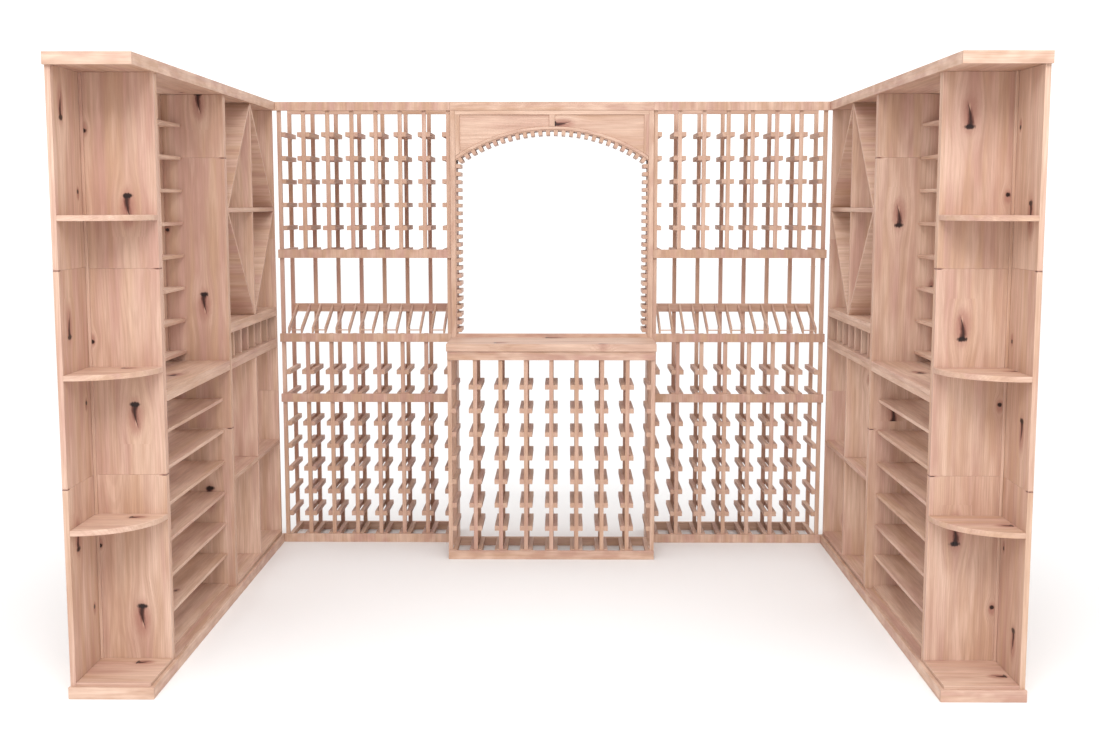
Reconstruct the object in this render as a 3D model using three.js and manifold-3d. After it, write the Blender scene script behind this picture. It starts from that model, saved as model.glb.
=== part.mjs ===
// A U-shaped wine cellar rack in knotty pine, in millimetres, +Z up.
// Two side wings face each other, a back wall of bottle ladders joins them, and a deep table rack
// with an arch above it stands in the middle. The mouth of the U faces -Y, the room wall is at +Y.
// Each wing holds, from its front end: a quarter-round corner display, a magnum rack with a
// counter, and a case-bin unit with a diamond bin and a row of display holes above.
import * as THREE from "three";
import { mergeVertices } from "three/addons/utils/BufferGeometryUtils.js";
import Module from "manifold-3d";

const wasm = await Module();
wasm.setup();

// ---------------------------------------------------------------- driving dimensions
const WIDTH = 2980; // over both wings, X
const LENGTH = 2321; // front of the wings to the room wall, Y
const HEIGHT = 1981; // floor to the top of the crown boards
const UNIT_DEPTH = 267.5; // every unit, fascia included
const BOARD = 17.5; // stock thickness
const SLIM = 12; // thinner boards: magnum shelves and diagonals
const FASCIA = 38; // height of crown, base and band boards
const FASCIA_T = 13; // thickness of those boards
const WALL_OVERHANG = 3; // the fascia returns past the wall panels
const GAP = 0.3; // clearance between two pieces that touch

// Wing stations along Y, measured from the front face of the wings.
const DISPLAY_END = 277; // corner display to magnum rack
const MAGNUM_END = 1177; // magnum rack to case unit
const CASE_END = LENGTH - UNIT_DEPTH + FASCIA_T; // case unit ends in line with the back ladders

// Heights shared by all the units.
const TOP_BOARD_Z = 1945;
const CROWN_Z = HEIGHT - FASCIA;
const COUNTER_TOP = 935;
const ROW_TOP = 1076; // top of the display row's cover board

// Corner display.
const CORNER_SHELF_TOPS = [533, 1015, 1500];
const CORNER_FLOOR_TOP = 48.5;
const CLEAT = 9;
const ARC_STEPS = 20;

// Magnum rack.
const MAGNUM_PITCH = 122.8;
const MAGNUM_LOWER = { rows: 7, firstTop: 51, depth: 202.5 };
const MAGNUM_UPPER = { rows: 8, firstTop: 975, depth: 69.5 };
const MAGNUM_POST = 40;

// Case unit.
const DISPLAY_HOLES = 7;
const CASE_FLOOR_TOP = 55.5;
const CASE_SHELF_TOP = 476.5;

// Back racks: eight ladders carry seven columns of bottles.
const RACK_LADDERS = 8;
const RACK_FIRST_X = -1208.5;
const RACK_PITCH = 107;
const RACK_FRONT = LENGTH - UNIT_DEPTH;
const LADDER_FRONT = RACK_FRONT + FASCIA_T + GAP;
const LADDER_TOP = 1962.5;
const RUNG_W = 18.75; // each side of an upright
const RUNG_H = 20.6;
const UPPER_RUNGS = [1325, 1428, 1530, 1634, 1736, 1840];
const LOWER_RUNGS = [30, 131, 233, 338, 443, 546, 678, 781];
const BAND_UPPER = 1295;
const BAND_DISPLAY = 919;
const BAND_LOWER = 646;
const CRADLE_RAIL_Z = 1038;
const CRADLE_W = 66;
const CRADLE_RAIL_W = 9;
const CRADLE_RAIL_H = 26;
const LIP_T = 6;
const LIP_H = 5;
const LIP_SEAT = 12; // above the underside of the rails

// Table rack: nine ladders, eight columns, and a thick top.
const TABLE_LADDERS = 9;
const TABLE_PITCH = 109.25;
const TABLE_FRONT = 1744.5;
const TABLE_TOP_Z = 941;
const TABLE_TOP_T = 32;
const TABLE_OVERHANG = 4;
const TABLE_RAIL_INSET = 4; // the rail under the top stands back from the base board
const TABLE_RUNGS = [31, 134, 236, 340, 444, 547, 650, 753];
const TABLE_HALF = 4 * TABLE_PITCH + BOARD / 2;

// Arch over the table.
const ARCH_DEPTH = 140;
const POST_OUT = 450;
const POST_IN = 428;
const SPRING_Z = 1727;
const ARCH_RISE = 133;
const SLAT_PITCH = 34.7;
const SLAT_H = 17.5;
const SLAT_T = 20;
const LINING = 3;
const PANEL_RECESS = 6;
const PANEL_TOP = 1925;
const PANEL_HALF = 407;
const STILE_HALF = 12.5;
const ARCH_MOULDING = 14;
const ARCH_FACETS = 28;
const PANEL_FACETS = 14;
const LINING_FACETS = 40;
const FIRST_SLAT = 6; // the lowest slat above the sill

// Planes of the left wing; the right wing is its mirror image.
const WALL_X = -WIDTH / 2 + WALL_OVERHANG;
const PANEL_X = -WIDTH / 2 + UNIT_DEPTH - FASCIA_T;
const FACE_X = -WIDTH / 2 + UNIT_DEPTH;

// ---------------------------------------------------------------- materials
const pine = (color) => new THREE.MeshStandardMaterial({ color, roughness: 0.62, metalness: 0 });
const PANEL_PINE = pine(0xd2ad95);
const TRIM_PINE = pine(0xe6c4ab);
const LADDER_PINE = pine(0xc9a48c);
const SHELF_PINE = pine(0xdab69d);

// ---------------------------------------------------------------- solids
const rack = new THREE.Group();
rack.position.y = -LENGTH / 2;

function box(x0, x1, y0, y1, z0, z1) {
  const geometry = new THREE.BoxGeometry(x1 - x0, y1 - y0, z1 - z0);
  geometry.translate((x0 + x1) / 2, (y0 + y1) / 2, (z0 + z1) / 2);
  return geometry;
}

function toSolid(geometry) {
  const bare = geometry.clone();
  bare.deleteAttribute("normal");
  bare.deleteAttribute("uv");
  const merged = mergeVertices(bare, 1e-4);
  const vertProperties = merged.attributes.position.array;
  const triVerts = new Uint32Array(merged.index.array);
  return new wasm.Manifold(new wasm.Mesh({ numProp: 3, vertProperties, triVerts }));
}

function toGeometry(solid) {
  const mesh = solid.getMesh();
  const geometry = new THREE.BufferGeometry();
  geometry.setAttribute("position", new THREE.BufferAttribute(mesh.vertProperties, 3));
  geometry.setIndex(new THREE.BufferAttribute(mesh.triVerts, 1));
  geometry.computeVertexNormals();
  return geometry;
}

const join = (pieces) => toGeometry(pieces.map(toSolid).reduce((sum, next) => sum.add(next)));
const cut = (whole, tools) =>
  toGeometry(tools.map(toSolid).reduce((rest, tool) => rest.subtract(tool), toSolid(whole)));
const clip = (whole, limit) => toGeometry(toSolid(whole).intersect(toSolid(limit)));

function mirrored(geometry) {
  const flipped = geometry.clone();
  flipped.scale(-1, 1, 1);
  const index = flipped.index.array;
  for (let i = 0; i < index.length; i += 3) {
    [index[i + 1], index[i + 2]] = [index[i + 2], index[i + 1]];
  }
  return flipped;
}

function add(name, geometry, material) {
  const mesh = new THREE.Mesh(geometry, material);
  mesh.name = name;
  rack.add(mesh);
}

// The same piece on the left, and mirrored on the right.
function addPair(name, geometry, material) {
  add(`left_${name}`, geometry, material);
  add(`right_${name}`, mirrored(geometry), material);
}

// A board with a deeper front rail under it, across a wing unit from y0 to y1.
function railedBoard(y0, y1, top) {
  const board = box(WALL_X, PANEL_X, y0, y1, top - BOARD, top);
  const rail = box(PANEL_X - BOARD, PANEL_X, y0, y1, top - FASCIA, top - BOARD);
  return [board, rail];
}

// An XZ outline extruded along +Y from y0 to y1.
function extrudeY(shape, y0, y1) {
  const geometry = new THREE.ExtrudeGeometry(shape, { depth: y1 - y0, bevelEnabled: false });
  geometry.rotateX(Math.PI / 2);
  geometry.translate(0, y1, 0);
  return geometry;
}

// ---------------------------------------------------------------- wing: corner display
function wallPanel() {
  return box(WALL_X, WALL_X + BOARD, FASCIA_T + GAP, DISPLAY_END - BOARD - GAP, 0, TOP_BOARD_Z - GAP);
}

// Two boards back to back: the end of one unit and the start of the next.
function partition(y) {
  return box(WALL_X, PANEL_X, y - BOARD, y + BOARD, 0, TOP_BOARD_Z - GAP);
}

function quarterShelf(cornerX, cornerY, top) {
  const radiusX = PANEL_X - cornerX;
  const radiusY = cornerY - FASCIA_T - GAP;
  const shape = new THREE.Shape();
  shape.moveTo(0, 0);
  shape.lineTo(0, -radiusY);
  for (let i = 1; i <= ARC_STEPS; i++) {
    const angle = (i / ARC_STEPS) * (Math.PI / 2);
    shape.lineTo(radiusX * Math.sin(angle), -radiusY * Math.cos(angle));
  }
  const geometry = new THREE.ExtrudeGeometry(shape, { depth: BOARD, bevelEnabled: false });
  geometry.translate(cornerX, cornerY, top - BOARD);
  return geometry;
}

// Three quarter-round shelves and the floor, notched over the cleat in the inner corner.
function cornerShelves() {
  const x = WALL_X + BOARD + GAP;
  const y = DISPLAY_END - BOARD - GAP;
  const floor = box(x, PANEL_X, FASCIA_T + GAP, y, CORNER_FLOOR_TOP - BOARD, CORNER_FLOOR_TOP);
  const cleat = box(x, x + CLEAT, y - CLEAT, y, CORNER_FLOOR_TOP - BOARD, TOP_BOARD_Z - GAP);
  const shelves = CORNER_SHELF_TOPS.map((top) => quarterShelf(x, y, top));
  return join([floor, cleat, ...shelves]);
}

// ---------------------------------------------------------------- wing: magnum rack
const MAGNUM_Y0 = DISPLAY_END + BOARD + GAP;
const MAGNUM_Y1 = MAGNUM_END - BOARD - GAP;

function magnumCounter() {
  return join(railedBoard(MAGNUM_Y0, MAGNUM_Y1, COUNTER_TOP));
}

// Slim shelves on three posts that stand against the wall.
function magnumShelves({ rows, firstTop, depth }, z0, z1) {
  const front = WALL_X + BOARD;
  const lastPost = MAGNUM_Y1 - MAGNUM_POST;
  const posts = [MAGNUM_Y0, (MAGNUM_Y0 + lastPost) / 2, lastPost].map((y) =>
    box(WALL_X, front, y, y + MAGNUM_POST, z0, z1),
  );
  const shelves = [];
  for (let i = 0; i < rows; i++) {
    const top = firstTop + i * MAGNUM_PITCH;
    shelves.push(box(front, front + depth, MAGNUM_Y0, MAGNUM_Y1, top - SLIM, top));
  }
  return [...posts, ...shelves];
}

// Floor of the rack, flat under the lowest shelf and out to the base board.
function magnumFloor() {
  const top = MAGNUM_LOWER.firstTop - SLIM;
  return box(WALL_X + BOARD, PANEL_X, MAGNUM_Y0, MAGNUM_Y1, top - BOARD, top);
}

// ---------------------------------------------------------------- wing: case unit
const CASE_Y0 = MAGNUM_END + BOARD + GAP;
const CASE_Y1 = CASE_END - BOARD - GAP;
const CASE_MID = (CASE_Y0 + CASE_Y1) / 2;

function innerEndPanel() {
  return box(WALL_X, PANEL_X, CASE_END - BOARD, CASE_END, 0, TOP_BOARD_Z - GAP);
}

// A diagonal board of the diamond bin, from (y0, z0) to (y1, z1) on its centre line.
function diagonal(y0, z0, y1, z1) {
  const length = Math.hypot(y1 - y0, z1 - z0);
  const geometry = new THREE.BoxGeometry(PANEL_X - WALL_X, length, SLIM);
  geometry.rotateX(Math.atan2(z1 - z0, y1 - y0));
  geometry.translate((WALL_X + PANEL_X) / 2, (y0 + y1) / 2, (z0 + z1) / 2);
  return geometry;
}

// Upright divider, level shelf and four diagonals that draw a diamond in the square bin.
function diamondLattice() {
  const z0 = ROW_TOP + GAP;
  const z1 = TOP_BOARD_Z - GAP;
  const mid = (z0 + z1) / 2;
  const divider = box(WALL_X, PANEL_X, CASE_MID - BOARD / 2, CASE_MID + BOARD / 2, z0, z1);
  const shelf = box(WALL_X, PANEL_X, CASE_Y0, CASE_Y1, mid - BOARD / 2, mid + BOARD / 2);
  const diagonals = [];
  for (const side of [CASE_Y0, CASE_Y1]) {
    for (const end of [z0, z1]) {
      diagonals.push(diagonal(side, mid, CASE_MID, end));
    }
  }
  const bin = box(WALL_X, PANEL_X, CASE_Y0, CASE_Y1, z0, z1);
  return clip(join([divider, shelf, ...diagonals]), bin);
}

// A row of pigeonholes: cover board, bottom board and the partitions between them.
function displayRow() {
  const cell = (CASE_Y1 - CASE_Y0 - (DISPLAY_HOLES - 1) * BOARD) / DISPLAY_HOLES;
  const pieces = [...railedBoard(CASE_Y0, CASE_Y1, ROW_TOP), ...railedBoard(CASE_Y0, CASE_Y1, COUNTER_TOP)];
  for (let i = 1; i < DISPLAY_HOLES; i++) {
    const y = CASE_Y0 + i * cell + (i - 1) * BOARD;
    pieces.push(box(WALL_X, PANEL_X - BOARD, y, y + BOARD, COUNTER_TOP, ROW_TOP - BOARD));
  }
  return join(pieces);
}

// Floor, shelf and divider: four open bins for cases.
function caseBins() {
  const top = COUNTER_TOP - FASCIA - GAP;
  const floor = box(WALL_X, PANEL_X, CASE_Y0, CASE_Y1, CASE_FLOOR_TOP - BOARD, CASE_FLOOR_TOP);
  const shelf = box(WALL_X, PANEL_X, CASE_Y0, CASE_Y1, CASE_SHELF_TOP - BOARD, CASE_SHELF_TOP);
  const divider = box(
    WALL_X, PANEL_X, CASE_MID - BOARD / 2, CASE_MID + BOARD / 2, CASE_FLOOR_TOP - BOARD, top,
  );
  return join([floor, shelf, divider]);
}

// ---------------------------------------------------------------- wing: boards along the whole wing
function topBoard() {
  return box(WALL_X, PANEL_X, FASCIA_T + GAP, CASE_END, TOP_BOARD_Z, TOP_BOARD_Z + BOARD);
}

// A fascia board round the front end and along the inner face, from height z0.
function wingFascia(z0) {
  const front = box(-WIDTH / 2, FACE_X, 0, FASCIA_T, z0, z0 + FASCIA);
  const side = box(FACE_X - FASCIA_T + GAP, FACE_X, FASCIA_T, CASE_END, z0, z0 + FASCIA);
  return join([front, side]);
}

function buildWings() {
  const underCounter = COUNTER_TOP - FASCIA - GAP;
  addPair("wall_panel", wallPanel(), PANEL_PINE);
  addPair("front_partition", partition(DISPLAY_END), PANEL_PINE);
  addPair("corner_shelves", cornerShelves(), SHELF_PINE);
  addPair("magnum_counter", magnumCounter(), SHELF_PINE);
  const overCounter = COUNTER_TOP + GAP;
  const underTop = TOP_BOARD_Z - GAP;
  addPair("magnum_upper_shelves", join(magnumShelves(MAGNUM_UPPER, overCounter, underTop)), SHELF_PINE);
  const lowerShelves = magnumShelves(MAGNUM_LOWER, 0, underCounter);
  addPair("magnum_lower_shelves", join([...lowerShelves, magnumFloor()]), SHELF_PINE);
  addPair("middle_partition", partition(MAGNUM_END), PANEL_PINE);
  addPair("inner_end_panel", innerEndPanel(), PANEL_PINE);
  addPair("diamond_lattice", diamondLattice(), SHELF_PINE);
  addPair("display_row", displayRow(), SHELF_PINE);
  addPair("case_bins", caseBins(), PANEL_PINE);
  addPair("top_board", topBoard(), PANEL_PINE);
  addPair("wing_crown", wingFascia(CROWN_Z), TRIM_PINE);
  addPair("wing_base", wingFascia(0), TRIM_PINE);
}

// ---------------------------------------------------------------- ladders
// One ladder stands in the YZ plane at x: a front and a back upright, and at each level a rung
// on one or both sides of them, on which the bottles lie.
function ladder({ x, y0, y1, top, rungs, sides, frontSpans }) {
  const half = BOARD / 2;
  const pieces = [box(x - half, x + half, y1 - BOARD, y1, 0, top)];
  for (const [z0, z1] of frontSpans) {
    pieces.push(box(x - half, x + half, y0, y0 + BOARD, z0, z1));
  }
  for (const z of rungs) {
    for (const side of sides) {
      const inner = x + side * half;
      const outer = inner + side * RUNG_W;
      const [x0, x1] = [Math.min(inner, outer), Math.max(inner, outer)];
      pieces.push(box(x0, x1, y0, y1, z - RUNG_H / 2, z + RUNG_H / 2));
    }
  }
  return pieces;
}

// Rungs face only the columns that hold bottles, so the end ladders have them on one side.
function rungSides(index, count) {
  if (index === 0) return [1];
  if (index === count - 1) return [-1];
  return [-1, 1];
}

// A rear rail in the plane of the back uprights, from ladder x0 to ladder x1, reaching half way
// into the columns beside them.
function rearRail(x0, x1, pitch, first, last, y1, z0) {
  const reach = pitch / 2 - GAP / 2;
  const left = Math.max(x0 - reach, first - BOARD / 2);
  const right = Math.min(x1 + reach, last + BOARD / 2);
  return box(left, right, y1 - BOARD, y1, z0, z0 + FASCIA);
}

// ---------------------------------------------------------------- back racks
const rackX = (i) => RACK_FIRST_X + i * RACK_PITCH;
const RACK_LAST_X = rackX(RACK_LADDERS - 1);

// Inner ladders have no front upright in the display bay, so that the labels show.
function rackLadder(i) {
  const isEnd = i === 0 || i === RACK_LADDERS - 1;
  const full = [[0, LADDER_TOP]];
  const split = [[0, BAND_DISPLAY + FASCIA], [BAND_UPPER, LADDER_TOP]];
  return ladder({
    x: rackX(i),
    y0: LADDER_FRONT,
    y1: LENGTH,
    top: LADDER_TOP,
    rungs: [...LOWER_RUNGS, ...UPPER_RUNGS],
    sides: rungSides(i, RACK_LADDERS),
    frontSpans: isEnd ? full : split,
  });
}

function rackLadderPair(i) {
  const rails = [0, CROWN_Z].map((z) =>
    rearRail(rackX(i), rackX(i + 1), RACK_PITCH, RACK_FIRST_X, RACK_LAST_X, LENGTH, z),
  );
  return join([...rackLadder(i), ...rackLadder(i + 1), ...rails]);
}

function rackBand(z0) {
  const x1 = -POST_OUT - GAP;
  return box(FACE_X + GAP, x1, RACK_FRONT, RACK_FRONT + FASCIA_T, z0, z0 + FASCIA);
}

// Sloping cradles of the display bay: two rails and a front lip each, hung on one rear rail.
function displayCradles() {
  const railY1 = LENGTH - BOARD - GAP;
  const railY0 = railY1 - FASCIA_T;
  const seatZ = BAND_DISPLAY + FASCIA + GAP;
  const frontY = LADDER_FRONT;
  const x0 = RACK_FIRST_X + BOARD / 2 + GAP;
  const x1 = RACK_LAST_X - BOARD / 2 - GAP;
  const pieces = [box(x0, x1, railY0, railY1, CRADLE_RAIL_Z, CRADLE_RAIL_Z + FASCIA)];
  const run = railY0 - frontY;
  const rise = CRADLE_RAIL_Z + FASCIA - CRADLE_RAIL_H - seatZ;
  const outline = new THREE.Shape();
  outline.moveTo(0, 0);
  outline.lineTo(run, rise);
  outline.lineTo(run, rise + CRADLE_RAIL_H);
  outline.lineTo(0, CRADLE_RAIL_H);
  outline.closePath();
  for (let i = 0; i < RACK_LADDERS - 1; i++) {
    const middle = (rackX(i) + rackX(i + 1)) / 2;
    for (const side of [-1, 1]) {
      const rail = new THREE.ExtrudeGeometry(outline, { depth: CRADLE_RAIL_W, bevelEnabled: false });
      rail.rotateX(Math.PI / 2);
      rail.rotateZ(Math.PI / 2);
      const outer = middle + (side * CRADLE_W) / 2;
      rail.translate(side > 0 ? outer - CRADLE_RAIL_W : outer, frontY, seatZ);
      pieces.push(rail);
    }
    const inner = CRADLE_W / 2 - CRADLE_RAIL_W;
    const lipZ = seatZ + LIP_SEAT;
    pieces.push(box(middle - inner, middle + inner, frontY, frontY + LIP_T, lipZ, lipZ + LIP_H));
  }
  return join(pieces);
}

function buildBackRacks() {
  for (let pair = 0; pair < RACK_LADDERS / 2; pair++) {
    addPair(`ladder_pair_${pair + 1}`, rackLadderPair(2 * pair), LADDER_PINE);
  }
  addPair("upper_band", rackBand(BAND_UPPER), TRIM_PINE);
  addPair("display_band", rackBand(BAND_DISPLAY), TRIM_PINE);
  addPair("lower_band", rackBand(BAND_LOWER), TRIM_PINE);
  addPair("rack_base", rackBand(0), TRIM_PINE);
  addPair("display_cradles", displayCradles(), LADDER_PINE);
  const x = -FACE_X - GAP;
  add("back_crown", box(-x, x, RACK_FRONT, RACK_FRONT + FASCIA_T, CROWN_Z, HEIGHT), TRIM_PINE);
}

// ---------------------------------------------------------------- table rack
const tableX = (i) => (i - (TABLE_LADDERS - 1) / 2) * TABLE_PITCH;
const TABLE_LADDER_FRONT = TABLE_FRONT + FASCIA_T + GAP;
const TABLE_BACK = TABLE_FRONT + UNIT_DEPTH;
const TABLE_UNDER = TABLE_TOP_Z - TABLE_TOP_T - GAP;

function tableLadder(i) {
  return ladder({
    x: tableX(i),
    y0: TABLE_LADDER_FRONT,
    y1: TABLE_BACK,
    top: TABLE_UNDER,
    rungs: TABLE_RUNGS,
    sides: rungSides(i, TABLE_LADDERS),
    frontSpans: [[0, TABLE_UNDER]],
  });
}

function tableRails(i, j) {
  return [0, TABLE_UNDER - FASCIA].map((z) =>
    rearRail(tableX(i), tableX(j), TABLE_PITCH, tableX(0), tableX(TABLE_LADDERS - 1), TABLE_BACK, z),
  );
}

function tableTop() {
  const front = TABLE_FRONT - TABLE_OVERHANG;
  const half = TABLE_HALF + TABLE_OVERHANG;
  return box(-half, half, front, RACK_FRONT - GAP, TABLE_TOP_Z - TABLE_TOP_T, TABLE_TOP_Z);
}

function buildTable() {
  for (let i = 0; i < TABLE_LADDERS - 1; i += 2) {
    const pieces = [...tableLadder(i), ...tableLadder(i + 1), ...tableRails(i, i + 1)];
    add(`table_ladder_pair_${i / 2 + 1}`, join(pieces), LADDER_PINE);
  }
  const last = TABLE_LADDERS - 1;
  add("table_end_ladder", join([...tableLadder(last), ...tableRails(last, last)]), LADDER_PINE);
  const front = TABLE_FRONT;
  const back = front + FASCIA_T;
  const railFront = front + TABLE_RAIL_INSET;
  add("table_top", tableTop(), SHELF_PINE);
  const railZ = TABLE_UNDER - FASCIA;
  add("table_rail", box(-TABLE_HALF, TABLE_HALF, railFront, back, railZ, TABLE_UNDER), TRIM_PINE);
  add("table_base", box(-TABLE_HALF, TABLE_HALF, front, back, 0, FASCIA), TRIM_PINE);
}

// ---------------------------------------------------------------- arch
const ARCH_HALF = POST_IN - GAP;
const ARCH_R = (ARCH_HALF ** 2 + ARCH_RISE ** 2) / (2 * ARCH_RISE);
const ARCH_CENTRE_Z = SPRING_Z + ARCH_RISE - ARCH_R;
const archZ = (x, radius = ARCH_R) => ARCH_CENTRE_Z + Math.sqrt(radius ** 2 - x ** 2);

// Adds the arch line to an outline, from x0 to x1, radius outside the lining.
function archLine(shape, x0, x1, radius, steps) {
  for (let i = 0; i <= steps; i++) {
    const x = x0 + ((x1 - x0) * i) / steps;
    shape.lineTo(x, archZ(x, radius));
  }
}

// Front and back boards cut to the arch, joined by a top board; the front one holds two
// recessed panels between stiles and a curved moulding.
function archHeader() {
  const top = CROWN_Z - GAP;
  const outline = new THREE.Shape();
  outline.moveTo(-ARCH_HALF, top);
  archLine(outline, -ARCH_HALF, ARCH_HALF, ARCH_R, ARCH_FACETS);
  outline.lineTo(ARCH_HALF, top);
  outline.closePath();
  const y0 = RACK_FRONT;
  const y1 = RACK_FRONT + ARCH_DEPTH;
  const front = extrudeY(outline, y0, y0 + BOARD);
  const back = extrudeY(outline, y1 - BOARD, y1);
  const lid = box(-ARCH_HALF, ARCH_HALF, y0, y1, top - BOARD, top);
  const recesses = [-1, 1].map((side) => {
    const panel = new THREE.Shape();
    const [x0, x1] = [side * STILE_HALF, side * PANEL_HALF];
    const [left, right] = [Math.min(x0, x1), Math.max(x0, x1)];
    panel.moveTo(left, PANEL_TOP);
    archLine(panel, left, right, ARCH_R + ARCH_MOULDING, PANEL_FACETS);
    panel.lineTo(right, PANEL_TOP);
    panel.closePath();
    return extrudeY(panel, y0 - 1, y0 + PANEL_RECESS);
  });
  return cut(join([front, back, lid]), recesses);
}

// Short slats line the opening: up the left post, along the arch and down the right post,
// all on one thin lining. The outline is a comb, walked once outside and once inside.
function archSlats() {
  const outer = ARCH_HALF - GAP;
  const radius = ARCH_R - GAP;
  const sill = BAND_DISPLAY + FASCIA + GAP;
  const spring = archZ(outer, radius);
  const comb = new THREE.Shape();
  comb.moveTo(-outer, sill);
  comb.lineTo(-outer, spring);
  archLine(comb, -outer, outer, radius, LINING_FACETS);
  comb.lineTo(outer, sill);
  const inner = outer - LINING;
  comb.lineTo(inner, sill);
  const postSlats = Math.floor((spring - LINING - sill) / SLAT_PITCH);
  const postStart = (i) => sill + FIRST_SLAT + i * SLAT_PITCH;
  const tooth = (x, z0, z1) => {
    comb.lineTo(x, z0);
    comb.lineTo(x - Math.sign(x) * SLAT_T, z0);
    comb.lineTo(x - Math.sign(x) * SLAT_T, z1);
    comb.lineTo(x, z1);
  };
  for (let i = 0; i < postSlats; i++) {
    tooth(inner, postStart(i), postStart(i) + SLAT_H);
  }
  const span = Math.asin(inner / (radius - LINING));
  const archSlatCount = Math.floor((2 * span * radius) / SLAT_PITCH);
  const step = (2 * span) / archSlatCount;
  const half = SLAT_H / 2 / radius;
  const at = (angle, r) => comb.lineTo(r * Math.sin(angle), ARCH_CENTRE_Z + r * Math.cos(angle));
  for (let i = 0; i < archSlatCount; i++) {
    const angle = span - (i + 0.5) * step;
    at(angle + half, radius - LINING);
    at(angle + half, radius - LINING - SLAT_T);
    at(angle - half, radius - LINING - SLAT_T);
    at(angle - half, radius - LINING);
  }
  for (let i = postSlats - 1; i >= 0; i--) {
    tooth(-inner, postStart(i) + SLAT_H, postStart(i));
  }
  comb.lineTo(-inner, sill);
  comb.closePath();
  return extrudeY(comb, RACK_FRONT, RACK_FRONT + ARCH_DEPTH);
}

function buildArch() {
  const y1 = RACK_FRONT + ARCH_DEPTH;
  const half = ARCH_HALF;
  addPair("arch_post", box(-POST_OUT, -POST_IN, RACK_FRONT, y1, 0, CROWN_Z - GAP), TRIM_PINE);
  add("arch_header", archHeader(), PANEL_PINE);
  add("arch_slats", archSlats(), TRIM_PINE);
  const sillZ = BAND_DISPLAY;
  add("arch_sill", box(-half, half, RACK_FRONT, RACK_FRONT + FASCIA_T, sillZ, sillZ + FASCIA), TRIM_PINE);
}

buildWings();
buildBackRacks();
buildTable();
buildArch();

export default rack;
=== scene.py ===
"""Looks of a U-shaped wine cellar rack in knotty pine, in metres, +Z up.

Every CAD node is replaced by a piece of joinery made of its separate boards and sticks, each
with eased edges and its own grain. Wings and back racks are drawn once, for the left side, and
mirrored for the right. All the wood shares one procedural pine shader in four finishes.
"""

import math
import zlib
from collections import namedtuple
from functools import lru_cache

import bpy
import numpy as np
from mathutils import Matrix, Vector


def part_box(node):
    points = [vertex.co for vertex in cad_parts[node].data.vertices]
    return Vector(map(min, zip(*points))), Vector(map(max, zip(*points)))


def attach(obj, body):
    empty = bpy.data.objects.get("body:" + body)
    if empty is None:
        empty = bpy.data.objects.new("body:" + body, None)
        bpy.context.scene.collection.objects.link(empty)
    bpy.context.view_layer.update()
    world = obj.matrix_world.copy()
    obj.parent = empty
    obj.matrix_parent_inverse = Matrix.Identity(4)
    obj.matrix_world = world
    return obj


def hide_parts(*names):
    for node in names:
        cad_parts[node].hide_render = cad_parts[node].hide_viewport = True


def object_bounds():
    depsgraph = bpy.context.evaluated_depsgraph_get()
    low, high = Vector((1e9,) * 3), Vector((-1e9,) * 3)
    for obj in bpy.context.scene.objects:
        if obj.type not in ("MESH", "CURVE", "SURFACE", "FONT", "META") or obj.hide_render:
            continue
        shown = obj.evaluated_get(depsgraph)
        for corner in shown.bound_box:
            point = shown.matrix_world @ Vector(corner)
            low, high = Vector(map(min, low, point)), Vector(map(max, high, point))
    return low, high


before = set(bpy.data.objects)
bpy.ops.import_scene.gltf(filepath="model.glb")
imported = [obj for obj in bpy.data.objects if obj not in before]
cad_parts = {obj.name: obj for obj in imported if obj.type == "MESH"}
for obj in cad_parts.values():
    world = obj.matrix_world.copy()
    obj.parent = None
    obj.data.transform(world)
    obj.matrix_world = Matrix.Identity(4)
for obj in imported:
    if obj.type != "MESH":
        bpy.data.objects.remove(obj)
CAD_LOW, CAD_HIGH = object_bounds()

X, Y, Z = range(3)

# ---------------------------------------------------------------- driving dimensions
BOARD = 0.0175  # stock thickness
SLIM = 0.012  # magnum shelves and diagonals
FASCIA = 0.038  # height of crown, base and band boards
FASCIA_T = 0.013
GAP = 0.0003
EASE = 0.0014  # radius of the sanded edges
STICK_EASE = 0.0011
FRONT_Y = CAD_LOW.y  # front of the wings
DISPLAY_END = FRONT_Y + 0.277  # corner display to magnum rack
MAGNUM_END = FRONT_Y + 1.177  # magnum rack to case unit

MAGNUM_PITCH = 0.1228
MAGNUM_POST = 0.040
CORNER_SHELF_TOPS = (0.533, 1.015, 1.500)
CORNER_FLOOR_TOP = 0.0485
CLEAT = 0.009
QUARTER_STEPS = 24
DISPLAY_HOLES = 7
CASE_SHELF_TOP = 0.4765

RACK_FIRST_X = -1.2085
RACK_PITCH = 0.107
RACK_LADDERS = 8
LADDER_TOP = 0.0195  # from the underside of the crown board
RUNG_W = 0.01875
RUNG_H = 0.0206
UPPER_RUNGS = (1.325, 1.428, 1.530, 1.634, 1.736, 1.840)
LOWER_RUNGS = (0.030, 0.131, 0.233, 0.338, 0.443, 0.546, 0.678, 0.781)
TABLE_RUNGS = (0.031, 0.134, 0.236, 0.340, 0.444, 0.547, 0.650, 0.753)
TABLE_PITCH = 0.10925
TABLE_LADDERS = 9
CRADLE_W = 0.066
CRADLE_RAIL_W = 0.009
CRADLE_RAIL_H = 0.026
LIP_T = 0.006
LIP_H = 0.005
LIP_SEAT = 0.012

ARCH_RISE = 0.133
SPRING_Z = 1.727
ARCH_MOULDING = 0.014
PANEL_RECESS = 0.006
PANEL_TOP = 1.925
PANEL_HALF = 0.407
STILE_HALF = 0.0125
SLAT_PITCH = 0.0347
SLAT_H = 0.0175
SLAT_T = 0.020
LINING = 0.003
FIRST_SLAT = 0.006  # from the sill to the lowest slat
MOULDING_EASE = 0.0035
LINING_EASE = 0.0006

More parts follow.
